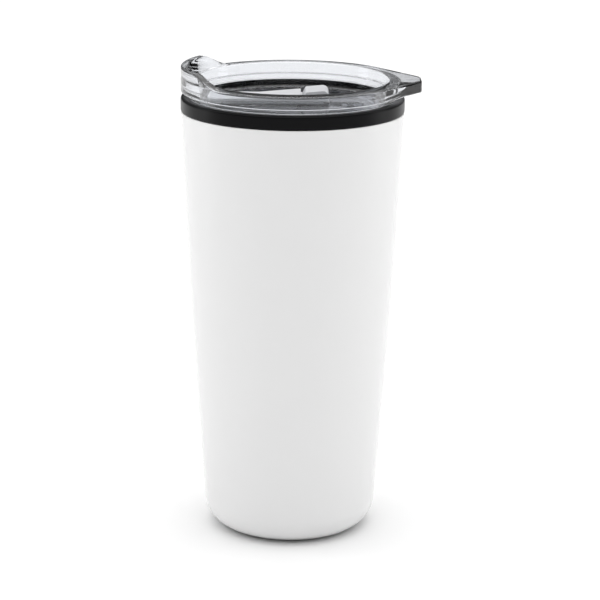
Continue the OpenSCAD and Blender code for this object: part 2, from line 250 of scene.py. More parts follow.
def draw_outline(name, points):
    """Draws an outline in the XZ plane point by point, closed unless it starts on the axis."""
    piece = new_primitive(name, bpy.ops.mesh.primitive_plane_add, size=MM)
    bpy.ops.mesh.merge(type="CENTER")
    bpy.ops.transform.translate(value=(points[0].x, 0, points[0].y))
    ahead = points[1:] + (points[:1] if points[0].x > WELD else [])
    for here, there in zip(points, ahead):
        step = there - here
        bpy.ops.mesh.extrude_region_move(TRANSFORM_OT_translate={"value": (step.x, 0, step.y)})
    bpy.ops.mesh.select_all(action="SELECT")
    bpy.ops.mesh.remove_doubles(threshold=WELD)
    return piece


def turned(name, corners, segments=192):
    """A round piece: its outline, spun about the cup's axis. It is left in edit mode."""
    piece = draw_outline(name, rounded(corners))
    bpy.ops.mesh.spin(steps=segments, angle=FULL_TURN, center=(0, 0, 0), axis=(0, 0, 1))
    bpy.ops.mesh.select_all(action="SELECT")
    bpy.ops.mesh.remove_doubles(threshold=WELD)
    bpy.ops.mesh.normals_make_consistent(inside=False)
    return piece


def block(name, low, high, corner=0.0, edge=0.0):
    """A box between two corners, its upright edges and then the others rounded."""
    piece = new_primitive(name, bpy.ops.mesh.primitive_cube_add, size=1)
    size = Vector(high) - Vector(low)
    bpy.ops.transform.resize(value=size)
    bpy.ops.transform.translate(value=(Vector(high) + Vector(low)) / 2)
    if corner:
        mesh = bmesh.from_edit_mesh(piece.data)
        bpy.ops.mesh.select_all(action="DESELECT")
        bpy.ops.mesh.select_mode(type="EDGE")
        for line in mesh.edges:
            ends = [v.co for v in line.verts]
            line.select_set(abs(ends[0].z - ends[1].z) > WELD)
        bmesh.update_edit_mesh(piece.data)
        bpy.ops.mesh.bevel(offset=corner, segments=10, affect="EDGES")
        bpy.ops.mesh.select_mode(type="VERT")
    if edge:
        round_edges(piece, edge)
    close_edit()
    return piece


def round_edges(piece, size, sharpest=math.radians(40), segments=3):
    """Rounds each edge of the mesh in edit mode that turns more than an angle."""
    bpy.ops.mesh.select_all(action="DESELECT")
    bpy.ops.mesh.select_mode(type="EDGE")
    mesh = bmesh.from_edit_mesh(piece.data)
    for line in mesh.edges:
        if len(line.link_faces) == 2:
            line.select_set(line.calc_face_angle() > sharpest)
    bmesh.update_edit_mesh(piece.data)
    bpy.ops.mesh.bevel(offset=size, segments=segments, affect="EDGES", clamp_overlap=True)
    bpy.ops.mesh.select_mode(type="VERT")


def close_edit():
    """Leaves edit mode."""
    bpy.ops.object.mode_set(mode="OBJECT")


def combine(piece, tools, operation):
    """Joins each tool to the piece or cuts it away, and removes the tool."""
    for tool in tools:
        bpy.ops.object.select_all(action="DESELECT")
        piece.select_set(True)
        bpy.context.view_layer.objects.active = piece
        bpy.ops.object.modifier_add(type="BOOLEAN")
        modifier = piece.modifiers[-1]
        modifier.operation = operation
        modifier.solver = "EXACT"
        modifier.object = tool
        bpy.ops.object.modifier_apply(modifier=modifier.name)
        bpy.data.objects.remove(tool)


def finish_piece(piece, material, body, node, smooth=math.radians(35)):
    """Smooths a piece, gives it its finish and puts it in place of its CAD node."""
    if piece.mode == "EDIT":
        close_edit()
    bpy.ops.object.select_all(action="DESELECT")
    piece.select_set(True)
    bpy.context.view_layer.objects.active = piece
    bpy.ops.object.shade_smooth_by_angle(angle=smooth)
    bpy.ops.object.modifier_add(type="WEIGHTED_NORMAL")
    modifier = piece.modifiers[-1]
    modifier.keep_sharp = True
    bpy.ops.object.modifier_apply(modifier=modifier.name)
    piece.data.materials.clear()
    piece.data.materials.append(material)
    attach(piece, body)
    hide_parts(node)


# ---- shared surface effects


def group_tree(name, inputs, outputs):
    """A new node group that takes a vector and named defaults, and gives out named kinds of socket."""
    tree = bpy.data.node_groups.new(name, "ShaderNodeTree")
    tree.interface.new_socket("Vector", in_out="INPUT", socket_type="NodeSocketVector")
    for label, default in inputs.items():
        kind = "NodeSocketFloat" if isinstance(default, float) else "NodeSocketColor"
        tree.interface.new_socket(label, in_out="INPUT", socket_type=kind).default_value = default
    for label, kind in outputs.items():
        tree.interface.new_socket(label, in_out="OUTPUT", socket_type=kind)
    entry = tree.nodes.new("NodeGroupInput")
    leave = tree.nodes.new("NodeGroupOutput")
    return tree, entry, leave


def feed(tree, socket, value):
    """Sets a socket to a number, or links another socket to it."""
    if isinstance(value, (int, float)):
        socket.default_value = value
    else:
        tree.links.new(value, socket)


def noise(tree, vector, scale, detail=3.0):
    """A noise texture in a tree, with its scale linked or set."""
    node = tree.nodes.new("ShaderNodeTexNoise")
    for label, value in (("Vector", vector), ("Scale", scale), ("Detail", detail)):
        feed(tree, node.inputs[label], value)
    return node.outputs["Fac"]


def math_node(tree, operation, first, second, clamp=False):
    """One Math node, with sockets or numbers as its inputs."""
    node = tree.nodes.new("ShaderNodeMath")
    node.operation = operation
    node.use_clamp = clamp
    feed(tree, node.inputs[0], first)
    feed(tree, node.inputs[1], second)
    return node.outputs[0]


def surface_grain():
    """Group: fine grain of a moulded or coated skin, as a roughness and a height."""
    name = "Surface Grain"
    if name in bpy.data.node_groups:
        return bpy.data.node_groups[name]
    tree, entry, leave = group_tree(
        name,
        {"Grain Scale": 800.0, "Roughness": 0.3, "Roughness Spread": 0.05},
        {"Roughness": "NodeSocketFloat", "Height": "NodeSocketFloat"},
    )
    vector = entry.outputs["Vector"]
    fine = noise(tree, vector, entry.outputs["Grain Scale"], detail=4.0)
    patch_scale = 45.0
    patches = noise(tree, vector, patch_scale)
    shift = math_node(tree, "SUBTRACT", patches, 0.5)
    spread = math_node(tree, "MULTIPLY", shift, entry.outputs["Roughness Spread"])
    doubled = math_node(tree, "MULTIPLY", spread, 2.0)
    rough = math_node(tree, "ADD", entry.outputs["Roughness"], doubled, clamp=True)
    tree.links.new(rough, leave.inputs["Roughness"])
    tree.links.new(fine, leave.inputs["Height"])
    return tree


def colour_drift():
    """Group: a colour that drifts slightly lighter and darker over the surface."""
    name = "Colour Drift"
    if name in bpy.data.node_groups:
        return bpy.data.node_groups[name]
    tree, entry, leave = group_tree(
        name,
        {"Colour": (0.8, 0.8, 0.8, 1.0), "Drift": 0.03, "Scale": 25.0},
        {"Colour": "NodeSocketColor"},
    )
    cloud = noise(tree, entry.outputs["Vector"], entry.outputs["Scale"])
    shift = math_node(tree, "SUBTRACT", cloud, 0.5)
    scaled = math_node(tree, "MULTIPLY", shift, entry.outputs["Drift"])
    value = math_node(tree, "ADD", scaled, 1.0)
    shade = tree.nodes.new("ShaderNodeHueSaturation")
    tree.links.new(entry.outputs["Colour"], shade.inputs["Color"])
    tree.links.new(value, shade.inputs["Value"])
    tree.links.new(shade.outputs["Color"], leave.inputs["Colour"])
    return tree


def hairline_wear():
    """Group: sparse hairline scratches, as a mask."""
    name = "Hairline Wear"
    if name in bpy.data.node_groups:
        return bpy.data.node_groups[name]
    tree, entry, leave = group_tree(name, {"Scale": 60.0, "Amount": 0.5}, {"Mask": "NodeSocketFloat"})
    stretch = 14.0
    rarity = 0.735
    masks = []
    for turn in (20, 75, 140):
        mapping = tree.nodes.new("ShaderNodeMapping")
        mapping.inputs["Rotation"].default_value = Euler([math.radians(turn)] * 3)
        mapping.inputs["Scale"].default_value = (1.0, stretch, 1.0)
        tree.links.new(entry.outputs["Vector"], mapping.inputs["Vector"])
        streak = noise(tree, mapping.outputs["Vector"], entry.outputs["Scale"], detail=2.0)
        masks.append(math_node(tree, "GREATER_THAN", streak, rarity))
    both = math_node(tree, "MAXIMUM", masks[0], masks[1])
    every = math_node(tree, "MAXIMUM", both, masks[2])
    faded = math_node(tree, "MULTIPLY", every, entry.outputs["Amount"])
    tree.links.new(faded, leave.inputs["Mask"])
    return tree


def place_group(tree, group, vector, **values):
    """Places a shared effect in a material, with its own values."""
    node = tree.nodes.new("ShaderNodeGroup")
    node.node_tree = group
    tree.links.new(vector, node.inputs["Vector"])
    for label, value in values.items():
        node.inputs[label.replace("_", " ")].default_value = value
    return node


def finish(name, base, drift=0.03, roughness=0.3, spread=0.05, grain_scale=800.0, grain_depth=0.01,
           scratches=0.0, **sockets):
    """A finish on Object coordinates: drifting colour, grain, scratches and fixed shader values."""
    material = bpy.data.materials.new(name)
    material.use_nodes = True
    tree = material.node_tree
    shader = tree.nodes["Principled BSDF"]
    vector = tree.nodes.new("ShaderNodeTexCoord").outputs["Object"]
    tint = place_group(tree, colour_drift(), vector, Colour=(*base, 1.0), Drift=drift)
    tree.links.new(tint.outputs["Colour"], shader.inputs["Base Color"])
    grain = place_group(
        tree, surface_grain(), vector,
        Grain_Scale=grain_scale, Roughness=roughness, Roughness_Spread=spread,
    )
    rough = grain.outputs["Roughness"]
    height = grain.outputs["Height"]
    if scratches:
        wear = place_group(tree, hairline_wear(), vector, Amount=scratches)
        rough = math_node(tree, "ADD", rough, wear.outputs["Mask"], clamp=True)
        height = math_node(tree, "SUBTRACT", height, wear.outputs["Mask"])
    tree.links.new(rough, shader.inputs["Roughness"])
    bump = tree.nodes.new("ShaderNodeBump")
    bump.inputs["Distance"].default_value = grain_depth * MM
    tree.links.new(height, bump.inputs["Height"])
    tree.links.new(bump.outputs["Normal"], shader.inputs["Normal"])
    for label, value in sockets.items():
        shader.inputs[label.replace("_", " ")].default_value = value
    return material


def palette():
    """The colours that the user can change."""
    return bpy.context.scene.tumbler_finishes


def coat_finish():
    """Gloss white coat, with the faint orange peel of a sprayed finish."""
    return finish("White Coat", palette().coat, drift=0.012, roughness=0.2, spread=0.03,
                  grain_scale=520.0, grain_depth=0.012, Coat_Weight=0.25, Coat_Roughness=0.08)


def black_finish(name, roughness):
    """Satin black polypropylene."""
    return finish(name, palette().black, drift=0.25, roughness=roughness, spread=0.05,
                  grain_scale=1400.0, grain_depth=0.01, Specular_IOR_Level=0.1)


def clear_finish():
    """Clear polished plastic with the slightest haze and a few hairlines."""
    return finish("Clear Plastic", palette().clear, drift=0.008, roughness=0.012, spread=0.01,
                  grain_scale=160.0, grain_depth=0.003, scratches=0.01,
                  Transmission_Weight=1.0, IOR=1.5)


def frosted_finish():
    """Frosted translucent plastic, one finish for the slide and its clip."""
    name = "Frosted Plastic"
    if name in bpy.data.materials:
        return bpy.data.materials[name]
    return finish(name, palette().frosted, drift=0.02, roughness=0.32, spread=0.05,
                  grain_scale=1600.0, grain_depth=0.012, Transmission_Weight=0.3, IOR=1.5)


def silicone_finish(name, base):
    """Soft matt silicone."""
    return finish(name, base, drift=0.05, roughness=0.5, spread=0.08,
                  grain_scale=2200.0, grain_depth=0.02, Specular_IOR_Level=0.35)


def steel_finish():
    """Bare steel, brushed in rings about the cup's axis."""
    material = finish("Brushed Steel", palette().steel, drift=0.06, roughness=0.32, spread=0.06,
                      grain_scale=900.0, grain_depth=0.01, Metallic=1.0)
    rings_per_metre = 6000.0
    tree = material.node_tree
    vector = tree.nodes.new("ShaderNodeTexCoord").outputs["Object"]
    flat = tree.nodes.new("ShaderNodeVectorMath")
    flat.operation = "MULTIPLY"
    flat.inputs[1].default_value = (1.0, 1.0, 0.0)
    tree.links.new(vector, flat.inputs[0])
    radius = tree.nodes.new("ShaderNodeVectorMath")
    radius.operation = "LENGTH"
    tree.links.new(flat.outputs["Vector"], radius.inputs[0])
    rings = tree.nodes.new("ShaderNodeTexNoise")
    rings.noise_dimensions = "1D"
    rings.inputs["Scale"].default_value = rings_per_metre
    tree.links.new(radius.outputs["Value"], rings.inputs["W"])
    bump = next(node for node in tree.nodes if node.bl_idname == "ShaderNodeBump")
    tree.links.new(rings.outputs["Fac"], bump.inputs["Height"])
    return material


# ---- the cup's pieces


def shell_radius(height, cup):
    """Outside radius of the shell's bowed side at a height."""
    share = height / SHELL[1].z
    straight = cup.base_radius + (SHELL[1].x - cup.base_radius) * share
    return straight + 4 * cup.side_bow * share * (1 - share)


def side_points(cup, inset, steps=24):
    """Points of the shell's side above its foot, set in by a wall, going up."""
    start = 2 * cup.foot_radius
    return [
        (shell_radius(height, cup) - inset, height, 0)
        for height in (start + (SHELL[1].z - start) * count / steps for count in range(1, steps + 1))
    ]


class TUMBLER_OT_outer_shell(bpy.types.Operator):
    """Models the white coated steel shell with its bowed side and rounded foot"""

    bl_idname = "tumbler.outer_shell"
    bl_label = "Outer Shell"

    def execute(self, context):
        cup = context.scene.tumbler_cup
        wall = cup.shell_wall
        cap_radius = CAP[1].x - cup.cap_lap
        corner = shell_radius(0, cup)
        cap_edge = 0.2 * MM
        top_edge = 0.3 * MM
        outside = side_points(cup, 0)
        inside = side_points(cup, wall)
        piece = turned("steel_shell", [
            (cap_radius, 0, cap_edge),
            (corner, 0, cup.foot_radius),
            *outside[:-1],
            (outside[-1][0], outside[-1][1], top_edge),
            (inside[-1][0], inside[-1][1], top_edge),
            *inside[-2::-1],
            (corner - wall, wall, cup.foot_radius - wall),
            (cap_radius, wall, cap_edge),
        ])
        finish_piece(piece, coat_finish(), "cup", "outer_shell")
        return {"FINISHED"}


class TUMBLER_OT_base_cap(bpy.types.Operator):
    """Models the steel disc pressed into the cup's underside"""

    bl_idname = "tumbler.base_cap"
    bl_label = "Base Cap"

    def execute(self, context):
        cup = context.scene.tumbler_cup
        wall = cup.shell_wall
        lap = cup.cap_lap
        edge = CAP[1].x - lap
        bead_out = edge - cup.bead_inset
        bead_in = bead_out - cup.bead_width
        bead = cup.bead_depth
        soft = 0.25 * MM
        crisp = 0.2 * MM
        piece = turned("steel_base_cap", [
            (0, 0, 0),
            (bead_in + bead, 0, soft),
            (bead_in + 2 * bead, bead, soft),
            (bead_out - 2 * bead, bead, soft),
            (bead_out - bead, 0, soft),
            (edge, 0, crisp),
            (edge, wall, 0),
            (edge + lap, wall, 0),
            (edge + lap, 2 * wall, crisp),
            (edge - lap, 2 * wall, crisp),
            (edge - lap, wall, soft),
            (bead_out, wall, soft),
            (bead_out - bead, wall + bead, soft),
            (bead_in + bead, wall + bead, soft),
            (bead_in, wall, soft),
            (0, wall, 0),
        ], segments=128)
        finish_piece(piece, steel_finish(), "cup", "base_cap")
        return {"FINISHED"}


class TUMBLER_OT_liner(bpy.types.Operator):
    """Models the black plastic liner with its straight mouth, step and rounded floor"""

    bl_idname = "tumbler.liner"
    bl_label = "Liner"

    def execute(self, context):
        cup = context.scene.tumbler_cup
        wall = cup.liner_wall
        bottom, top = LINER[0].z, LINER[1].z
        outside = LINER[1].x
        mouth = outside - wall
        step_top = COLLAR[1].z - cup.mouth_depth
        step_low = step_top - cup.liner_step
        throat = mouth - cup.liner_step
        base = cup.liner_base
        soft = 0.8 * MM
        top_edge = 0.2 * MM
        shoulder_drop = MM
        piece = turned("plastic_liner", [
            (0, bottom, 0),
            (base + wall, bottom, cup.floor_round),
            (throat + wall, step_low - shoulder_drop, soft),
            (outside, step_top - shoulder_drop, soft),
            (outside, top, top_edge),
            (mouth, top, top_edge),
            (mouth, step_top, soft),
            (throat, step_low, soft),
            (base, bottom + wall, cup.floor_round - wall),
            (0, bottom + wall, 0),
        ])
        finish_piece(piece, black_finish("Liner Black", roughness=0.28), "cup", "liner")
        return {"FINISHED"}


class TUMBLER_OT_collar(bpy.types.Operator):
    """Models the black collar with its spigot and the groove of its seal"""

    bl_idname = "tumbler.collar"
    bl_label = "Collar"

    def execute(self, context):
        cup = context.scene.tumbler_cup
        radius, top, spigot = COLLAR[1].x, COLLAR[1].z, COLLAR[0].z
        ledge = SHELL[1].z
        bore = LINER[1].x
        mouth = bore - cup.liner_wall
        inset = cup.shell_wall + cup.spigot_gap
        groove_low, groove_high = SEAL[0].z - cup.seal_room, SEAL[1].z + cup.seal_room
        groove = SEAL[1].x - (groove_high - groove_low) + cup.seal_room
        soft = 0.15 * MM
        lead_in = 0.4 * MM
        piece = turned("rim_collar", [
            (bore, spigot, soft),
            (shell_radius(spigot, cup) - inset, spigot, lead_in),
            (shell_radius(groove_low, cup) - inset, groove_low, soft),
            (groove, groove_low, soft),
            (groove, groove_high, soft),
            (shell_radius(groove_high, cup) - inset, groove_high, soft),
            (shell_radius(ledge, cup) - inset, ledge, 0),
            (radius, ledge, cup.collar_edge),
            (radius, top, cup.collar_round),
            (mouth, top, cup.collar_edge),
            (mouth, LINER[1].z, 0),
            (bore, LINER[1].z, 0),
        ])
        finish_piece(piece, black_finish("Collar Black", roughness=0.3), "cup", "collar")
        return {"FINISHED"}


class TUMBLER_OT_rim_seal(bpy.types.Operator):
    """Models the dark silicone ring between the collar and the shell"""

    bl_idname = "tumbler.rim_seal"
    bl_label = "Rim Seal"

    def execute(self, context):
        low, high, outer = SEAL[0].z, SEAL[1].z, SEAL[1].x
        inner = outer - (high - low)
        flat = 0.15 * MM
        bulge = (high - low - flat) / 2
        piece = turned("silicone_rim_seal", [
            (inner, low, bulge),
            (outer, low, bulge),
            (outer, high, bulge),
            (inner, high, bulge),
        ], segments=128)
        finish_piece(piece, silicone_finish("Dark Silicone", palette().dark_silicone),
                     "cup", "rim_seal")
        return {"FINISHED"}


# ---- the lid's pieces


def lid_levels(scene):
    """Heights and radii of the lid that several of its features share."""
    lid = scene.tumbler_lid
    rim = LID[1].z - lid.lip_rise
    deck = rim - lid.recess_depth
    plug = LINER[1].x - scene.tumbler_cup.liner_wall - lid.plug_gap
    return {
        "rim": rim,
        "flange": rim - lid.flange_height,
        "deck": deck,
        "under": deck - lid.deck_thickness,
        "bottom": LID[0].z,
        "radius": -LID[0].x,
        "plug": plug,
        "deck_radius": plug - lid.plug_wall,
    }


class TUMBLER_OT_lid_gasket(bpy.types.Operator):
    """Models the lid's silicone gasket with its two wiping lips"""

    bl_idname = "tumbler.lid_gasket"
    bl_label = "Lid Gasket"

    def execute(self, context):
        lid = context.scene.tumbler_lid
        low, high, tip = GASKET[0].z, GASKET[1].z, GASKET[1].x
        plug = lid_levels(context.scene)["plug"]
        inner = plug - lid.groove_depth + lid.gasket_fit
        band = plug - lid.gasket_band
        middle = (low + high) / 2
        edge = 0.3 * MM
        soft = 0.12 * MM
        piece = turned("silicone_gasket", [
            (inner, low, soft),
            (band, low, soft),
            (tip, middle - edge, soft),
            (tip, middle, soft),
            (band, middle, soft),
            (tip, high - edge, soft),
            (tip, high, soft),
            (inner, high, soft),
        ])
        finish_piece(piece, silicone_finish("Pale Silicone", palette().silicone),
                     "gasket", "lid_gasket")
        return {"FINISHED"}


def columns(mesh):
    """Vertices of a turned edit mesh, grouped by their angle about the axis in degrees."""
    groups = {}
    for vertex in mesh.verts:
        angle = round(math.degrees(math.atan2(vertex.co.y, vertex.co.x)), 1)
        groups.setdefault(angle, []).append(vertex)
    return list(groups.values())


def move_vertices(vertices, offset):
    """Moves some vertices of the mesh in edit mode."""
    bpy.ops.mesh.select_all(action="DESELECT")
    for vertex in vertices:
        vertex.select_set(True)
    bpy.ops.transform.translate(value=offset)


def raise_drinking_lip(piece, lid, level):
    """Lifts the rim into the drinking lip, level in the middle with a smooth ramp at each side."""
    foot, shoulder = lid.lip_foot_width / 2, lid.lip_top_width / 2
    inner = level["radius"] - lid.lip_wall
    lowest, innermost = level["rim"] - 1.2 * MM, inner - 0.6 * MM
    inner_rise = 0.86
    mesh = bmesh.from_edit_mesh(piece.data)
    for vertices in columns(mesh):
        rim = [v for v in vertices if v.co.z > lowest and v.co.xy.length > innermost]
        if not rim or rim[0].co.x > 0:
            continue
        across = abs(rim[0].co.y) / rim[0].co.xy.length * level["radius"]
        share = min(1.0, max(0.0, (foot - across) / (foot - shoulder)))
        if share == 0:
            continue
        rise = lid.lip_rise * share * share * (3 - 2 * share)
        edge = [v for v in rim if v.co.xy.length < inner]
        move_vertices([v for v in rim if v not in edge], (0, 0, rise))
        move_vertices(edge, (0, 0, inner_rise * rise))


def split_columns(piece, reach, cuts):
    """Splits the columns of a turned mesh that lie within an angle of +X."""
    bpy.ops.mesh.select_all(action="DESELECT")
    bpy.ops.mesh.select_mode(type="EDGE")
    mesh = bmesh.from_edit_mesh(piece.data)
    for line in mesh.edges:
        ends = [v.co for v in line.verts]
        if min(end.xy.length for end in ends) < MM:
            continue
        angles = [math.atan2(end.y, end.x) for end in ends]
        goes_round = abs(angles[0] - angles[1]) > math.radians(0.5)
        line.select_set(goes_round and max(abs(angle) for angle in angles) < reach)
    bmesh.update_edit_mesh(piece.data)
    bpy.ops.mesh.subdivide(number_cuts=cuts)
    bpy.ops.mesh.select_mode(type="VERT")


def tab_reach(angle, lid, radius):
    """Distance from the axis to the outline of the flange with its pry tab, at an angle."""
    tip_x = LID[1].x - lid.tab_round
    tip_y = lid.tab_width / 2 - lid.tab_round
    far = math.hypot(tip_x, tip_y)
    touch = math.atan2(tip_y, tip_x) + math.acos((radius - lid.tab_round) / far)
    if angle >= touch:
        return radius
    if math.tan(angle) * LID[1].x <= tip_y:
        return LID[1].x / math.cos(angle)
    along = tip_x * math.cos(angle) + tip_y * math.sin(angle)
    arc = along + math.sqrt(max(0.0, along**2 - far**2 + lid.tab_round**2))
    line = radius / math.cos(angle - touch)
    arc_end = Vector((tip_x + lid.tab_round * math.cos(touch), tip_y + lid.tab_round * math.sin(touch)))
    return arc if angle < math.atan2(arc_end.y, arc_end.x) else line


def pull_out_tab(piece, lid, level):
    """Draws the flange's edge out into the pry tab."""
    radius = level["radius"]
    edge_width = 1.6 * MM
    step_length = 2 * MM
    corner_reach = math.radians(10.5)
    split_columns(piece, corner_reach, cuts=3)
    mesh = bmesh.from_edit_mesh(piece.data)
    for vertices in columns(mesh):
        edge = [v for v in vertices
                if v.co.xy.length > radius - edge_width and v.co.z > level["flange"] - MM]
        if not edge or edge[0].co.x < 0:
            continue
        direction = edge[0].co.xy.normalized()
        angle = abs(math.atan2(direction.y, direction.x))
        pull = tab_reach(angle, lid, radius) - radius
        if pull > WELD:
            move_vertices(edge, (direction.x * pull, direction.y * pull, 0))
            lift = lid.tab_step * min(1.0, pull / step_length)
            move_vertices([v for v in edge if v.co.z < level["flange"] + MM], (0, 0, lift))


class TUMBLER_OT_lid_body(bpy.types.Operator):
    """Models the clear lid: flange, drinking lip, pry tab, deck, holes, rails and plug"""

    bl_idname = "tumbler.lid_body"
    bl_label = "Lid"

    def execute(self, context):
        lid = context.scene.tumbler_lid
        slide = context.scene.tumbler_slide
        level = lid_levels(context.scene)
        piece = self.turned_body(lid, level)
        raise_drinking_lip(piece, lid, level)
        pull_out_tab(piece, lid, level)
        close_edit()
        hole_front = lid.hole_margin - level["deck_radius"]
        combine(piece, self.hole_tools(lid, slide, level, hole_front), "DIFFERENCE")
        combine(piece, self.rails(lid, slide, level["deck"], hole_front + lid.hole_length / 2), "UNION")
        finish_piece(piece, clear_finish(), "lid", "lid_body",
                     smooth=math.radians(30))
        return {"FINISHED"}

    def turned_body(self, lid, level):
        """The lid before its lip, tab and holes, left in edit mode."""
        radius, rim, flange = level["radius"], level["rim"], level["flange"]
        plug, deck, bottom = level["plug"], level["deck"], level["bottom"]
        shoulder = COLLAR[1].z + lid.seat_gap
        groove_low, groove_high = GASKET[0].z - lid.groove_room, GASKET[1].z + lid.groove_room
        groove = plug - lid.groove_depth
        neck = radius - lid.neck_inset
        skirt = plug - lid.skirt_wall
        lip_inner = radius - lid.lip_wall
        crease = 0.3 * MM
        soft = 0.3 * MM
        medium = 0.5 * MM
        skirt_fillet = 1.0 * MM
        lead_in = 0.7 * MM
        neck_fillet = 0.4 * MM
        rim_outside, rim_inside = 0.9 * MM, 0.8 * MM
        deck_fillet = 1.2 * MM
        return turned("clear_lid", [
            (0, level["under"], 0),
            (skirt, level["under"], skirt_fillet),
            (skirt, bottom, medium),
            (plug, bottom, lead_in),
            (plug, groove_low, soft),
            (groove, groove_low, soft),
            (groove, groove_high, soft),
            (plug, groove_high, soft),
            (plug, shoulder, soft),
            (neck, shoulder, neck_fillet),
            (neck, flange, medium),
            (radius, flange, medium),
            (radius, rim, rim_outside),
            (lip_inner + crease, rim, 0),
            (lip_inner - crease, rim, 0),
            (level["deck_radius"] + lid.recess_flare, rim, rim_inside),
            (level["deck_radius"], deck, deck_fillet),
            (0, deck, 0),
        ], segments=360)

    def hole_tools(self, lid, slide, level, hole_front):
        """Blocks that cut the drink hole, the stem's slot and the vent hole through the deck."""
        low, high = level["under"] - OVER, level["deck"] + OVER
        hole_half = lid.hole_width / 2
        hole_round = 0.499 * lid.hole_length
        slot_front = (CLIP[0].x + CLIP[1].x) / 2 - slide.stem_length / 2 - slide.stem_gap
        slot_rear = slot_front + slide.stem_length + slide.travel + 2 * slide.stem_gap
        slot_half = slide.stem_width / 2 + slide.stem_gap
        slot_round = 0.4 * MM
        vent_x = level["deck_radius"] - lid.vent_margin - lid.vent_radius
        vent = lid.vent_radius
        vent_round = 0.999 * vent
        return [
            block("hole_cut", (hole_front, -hole_half, low),
                  (hole_front + lid.hole_length, hole_half, high), hole_round),
            block("slot_cut", (slot_front, -slot_half, low), (slot_rear, slot_half, high), slot_round),
            block("vent_cut", (vent_x - vent, -vent, low), (vent_x + vent, vent, high), vent_round),
        ]

    def rails(self, lid, slide, deck, front):
        """The two guide rails that stand on the deck beside the slide."""
        inner = SLIDE[1].y + lid.rail_gap
        rear = SLIDE[1].x + slide.travel
        rails = []
        for side in (-1, 1):
            near, far = sorted((side * inner, side * (inner + lid.rail_width)))
            rails.append(block("rail", (front, near, deck - OVER), (rear, far, deck + lid.rail_height),
                               corner=0.7 * MM, edge=0.25 * MM))
        return rails


def stem_box(sizes):
    """Place along the travel, half length and half width of the slide's stem."""
    return (CLIP[0].x + CLIP[1].x) / 2, sizes.stem_length / 2, sizes.stem_width / 2


class TUMBLER_OT_slide(bpy.types.Operator):
    """Models the slide with its plate, ramp, thumb grip, stem and barb"""

    bl_idname = "tumbler.slide"
    bl_label = "Slide"

    def execute(self, context):
        sizes = context.scene.tumbler_slide
        plate_low = lid_levels(context.scene)["deck"] + sizes.deck_gap
        plate_top = plate_low + sizes.plate
        sunk = 0.8 * MM
        body = self.ramp_and_grip(sizes, plate_top - sunk)
        plate = block("plate", (SLIDE[0].x, -SLIDE[1].y, plate_low), (SLIDE[1].x, SLIDE[1].y, plate_top),
                      corner=sizes.corner, edge=0.4 * MM)
        middle, half, side = stem_box(sizes)
        bottom = SLIDE[0].z
        stem = block("stem", (middle - half, -side, bottom + sizes.barb_height / 2),
                     (middle + half, side, plate_low + OVER), corner=0.5 * MM)
        half += sizes.barb_out
        side += sizes.barb_out
        top = bottom + sizes.barb_height
        barb = block("barb", (middle - half, -side, bottom), (middle + half, side, top),
                     corner=0.8 * MM, edge=0.2 * MM)
        combine(body, [plate, stem, barb], "UNION")
        fit = sizes.pad_fit
        pocket = block("pocket", (PAD[0].x - fit, PAD[0].y - fit, plate_low - OVER),
                       (PAD[1].x + fit, PAD[1].y + fit, PAD[1].z + fit), sizes.pad_corner)
        combine(body, [pocket], "DIFFERENCE")
        finish_piece(body, frosted_finish(), "closure", "slide")
        return {"FINISHED"}

    def ramp_and_grip(self, sizes, bottom):
        """The ramp and the thumb grip with the slit between them, sunk into the plate."""
        grip_top = SLIDE[1].z
        ramp_top = grip_top - sizes.ramp_below_grip
        grip_front = SLIDE[1].x - sizes.grip_length
        ramp_front = grip_front - sizes.ramp_length
        setback = 0.1 * MM
        rear = SLIDE[1].x - setback
        slit, lean = sizes.slit_width / 2, sizes.slit_depth
        slit_low = ramp_top - sizes.slit_depth
        ramp_nose, ramp_crest, grip_crest = 2.0 * MM, 0.4 * MM, 0.7 * MM
        crown = 0.2 * MM
        crisp = 0.2 * MM
        body = draw_outline("drink_slide", rounded([
            (ramp_front - sizes.nose, bottom, 0),
            (ramp_front, ramp_top - sizes.ramp_fall, ramp_nose),
            (grip_front, ramp_top, ramp_crest),
            (grip_front - slit, slit_low, crisp),
            (grip_front + slit, slit_low, crisp),
            (grip_front + lean, grip_top - sizes.grip_fall, grip_crest),
            (rear, grip_top + crown, sizes.nose),
            (rear, bottom, 0),
        ]))
        bpy.ops.mesh.edge_face_add()
        bpy.ops.mesh.extrude_region_move(TRANSFORM_OT_translate={"value": (0, sizes.grip_width, 0)})
        bpy.ops.mesh.select_all(action="SELECT")
        bpy.ops.transform.translate(value=(0, -sizes.grip_width / 2, 0))
        bpy.ops.mesh.normals_make_consistent(inside=False)
        round_edges(body, 0.35 * MM)
        close_edit()
        return body


class TUMBLER_OT_slide_seal(bpy.types.Operator):
    """Models the silicone pad under the slide"""

    bl_idname = "tumbler.slide_seal"
    bl_label = "Slide Seal"

    def execute(self, context):
        pad = block("silicone_pad", PAD[0], PAD[1],
                    corner=context.scene.tumbler_slide.pad_corner, edge=0.2 * MM)
        finish_piece(pad, silicone_finish("Pad Silicone", palette().silicone),
                     "closure", "slide_seal")
        return {"FINISHED"}


class TUMBLER_OT_slide_clip(bpy.types.Operator):
    """Models the clip under the deck, with its opening for the stem"""

    bl_idname = "tumbler.slide_clip"
    bl_label = "Slide Clip"

    def execute(self, context):
        sizes = context.scene.tumbler_slide
        middle, half, side = stem_box(sizes)
        clip = block("clip_plate", CLIP[0], CLIP[1], corner=sizes.clip_corner, edge=0.3 * MM)
        opening = block("clip_cut", (middle - half, -side, CLIP[0].z - OVER),
                        (middle + half, side, CLIP[1].z + OVER), 0.5 * MM)
        combine(clip, [opening], "DIFFERENCE")
        finish_piece(clip, frosted_finish(), "closure", "slide_clip")
        return {"FINISHED"}


# ---- the stage


